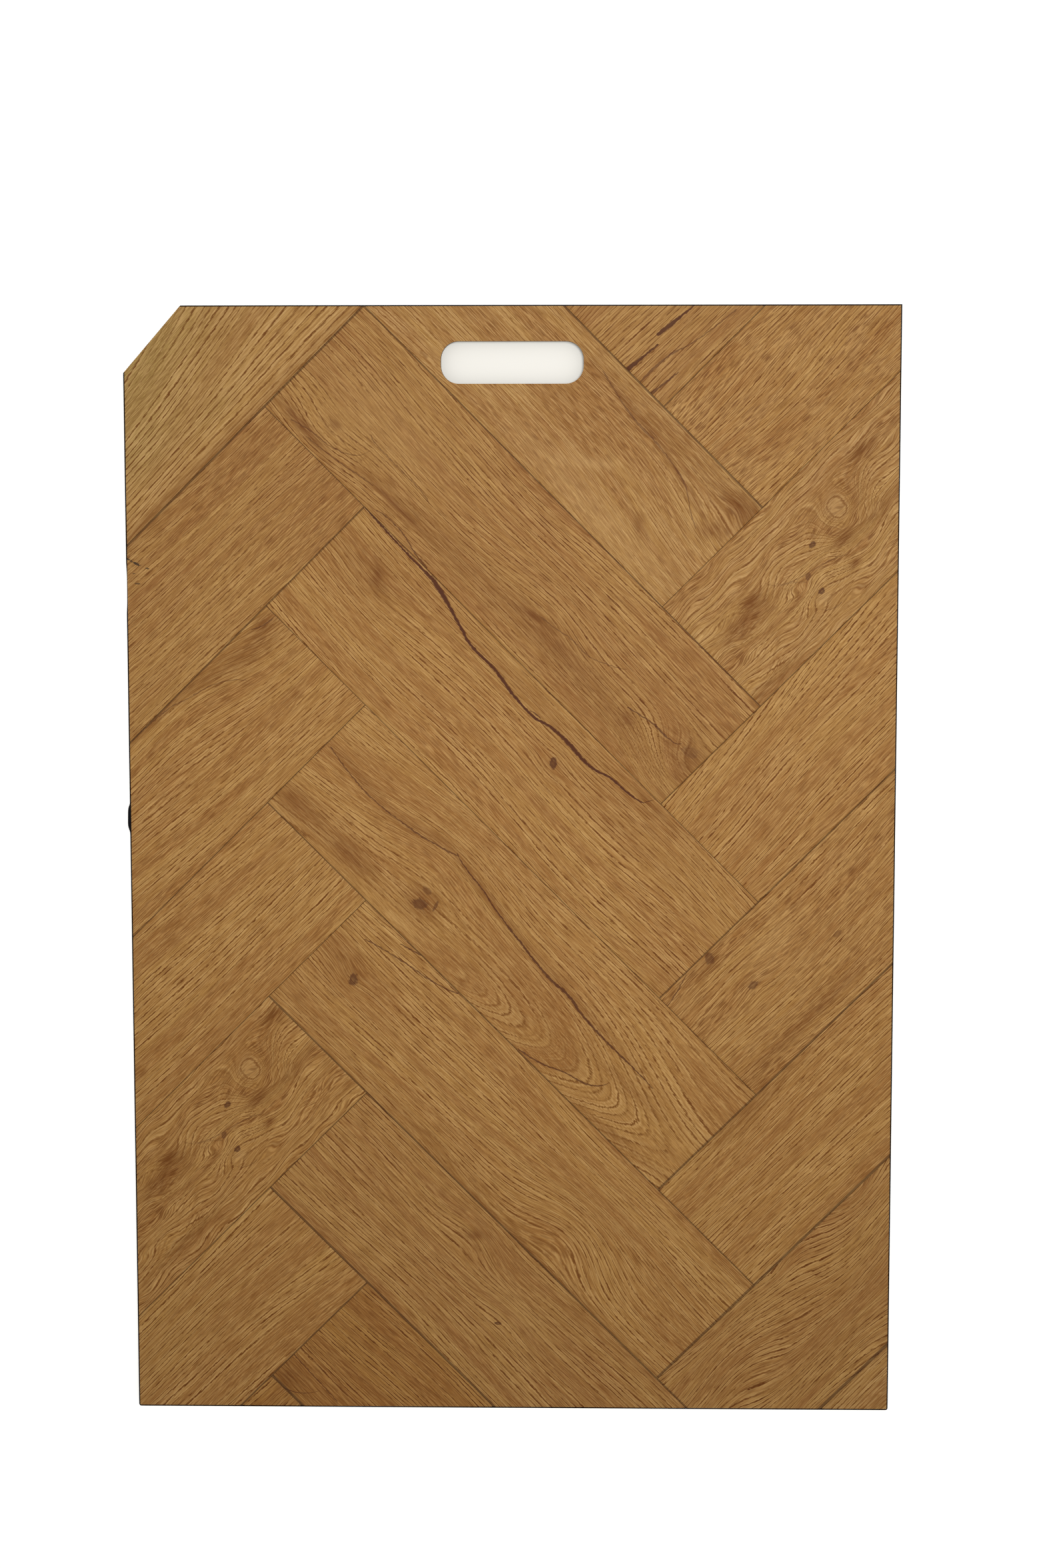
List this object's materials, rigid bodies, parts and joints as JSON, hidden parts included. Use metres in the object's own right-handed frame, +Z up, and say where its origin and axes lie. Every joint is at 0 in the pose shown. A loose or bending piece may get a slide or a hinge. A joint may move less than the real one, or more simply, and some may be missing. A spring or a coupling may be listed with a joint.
{
  "type": "luxury vinyl tile sample panel",
  "caption": "Flat flooring sample panel: a black board faced with bevelled oak-look vinyl planks in herringbone, with a hand slot, a clipped corner and a black edge band.",
  "frame": {"origin": "middle of the panel's back face, between its outer edges, on the surface that it lies on", "axes": "+X to the right across the panel, +Y along its length towards the hand slot, +Z up out of the vinyl face"},
  "size_m": [0.6298, 0.9144, 0.0085],
  "materials": {
    "black_board": "black-dyed fibreboard, sanded matte",
    "oak_light": "embossed oak-look vinyl, light plank",
    "oak_medium": "embossed oak-look vinyl, medium plank",
    "oak_brown": "embossed oak-look vinyl, brown plank",
    "oak_dark": "embossed oak-look vinyl, dark plank",
    "black_band": "black edge band, satin"
  },
  "bodies": {
    "root": {"backing_board": "black_board", "left_plank_1": "oak_light", "left_plank_2": "oak_brown", "left_plank_3": "oak_medium", "left_plank_4": "oak_medium", "left_plank_5": "oak_brown", "left_plank_6": "oak_dark", "left_plank_7": "oak_brown", "middle_plank_1": "oak_light", "middle_plank_2": "oak_medium", "middle_plank_3": "oak_medium", "middle_plank_4": "oak_medium", "middle_plank_5": "oak_medium", "middle_plank_6": "oak_dark", "middle_plank_7": "oak_dark", "right_plank_1": "oak_medium", "right_plank_2": "oak_medium", "right_plank_3": "oak_light", "right_plank_4": "oak_brown", "right_plank_5": "oak_medium", "right_plank_6": "oak_dark", "right_plank_7": "oak_medium", "top_filler": "oak_medium", "edge_band_top": "black_band", "edge_band_wrap": "black_band"}
  },
  "joints": []
}
